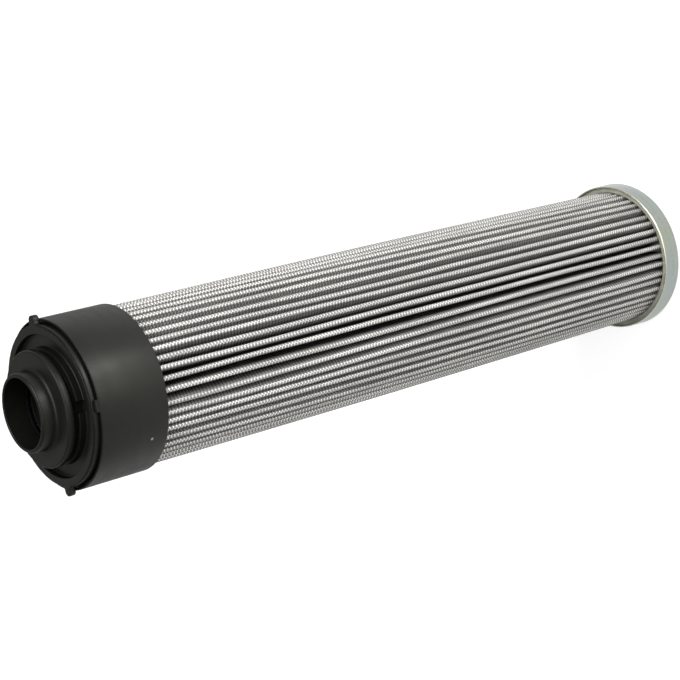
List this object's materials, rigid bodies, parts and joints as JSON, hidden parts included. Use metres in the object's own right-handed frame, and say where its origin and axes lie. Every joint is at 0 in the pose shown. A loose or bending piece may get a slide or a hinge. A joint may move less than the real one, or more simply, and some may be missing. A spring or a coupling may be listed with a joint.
{
  "type": "hydraulic filter element",
  "caption": "Cylindrical pleated mesh filter element with a black moulded spigot end cap with a skirt, and a plated steel cap closing the other end.",
  "frame": {"origin": "centre of the steel cap's flat outer face, on which the element stands", "axes": "+Z along the element's axis from the steel cap to the spigot's mouth, +Y towards one lug of the ring"},
  "size_m": [0.0806, 0.0806, 0.3864],
  "materials": {
    "moulded_cap": "matte black moulded plastic",
    "seal_rubber": "smooth black rubber",
    "core_steel": "plated perforated sheet",
    "inner_wire": "woven wire",
    "backing_cloth": "thin fleece",
    "fine_fibre": "fine glass fibre",
    "coarse_fibre": "coarse glass fibre",
    "outer_cloth": "thin fleece",
    "outer_wire": "bright woven wire",
    "seam_resin": "set resin",
    "upper_resin": "set resin",
    "lower_resin": "set resin",
    "plated_steel": "zinc-plated pressed steel"
  },
  "bodies": {
    "root": {"end_cap": "moulded_cap", "bore_seal": "seal_rubber", "core_tube": "core_steel", "inner_mesh": "inner_wire", "backing_fleece": "backing_cloth", "fine_layer": "fine_fibre", "coarse_layer": "coarse_fibre", "outer_fleece": "outer_cloth", "outer_mesh": "outer_wire", "seam_bead": "seam_resin", "upper_adhesive": "upper_resin", "lower_adhesive": "lower_resin", "steel_cap": "plated_steel"}
  },
  "joints": []
}
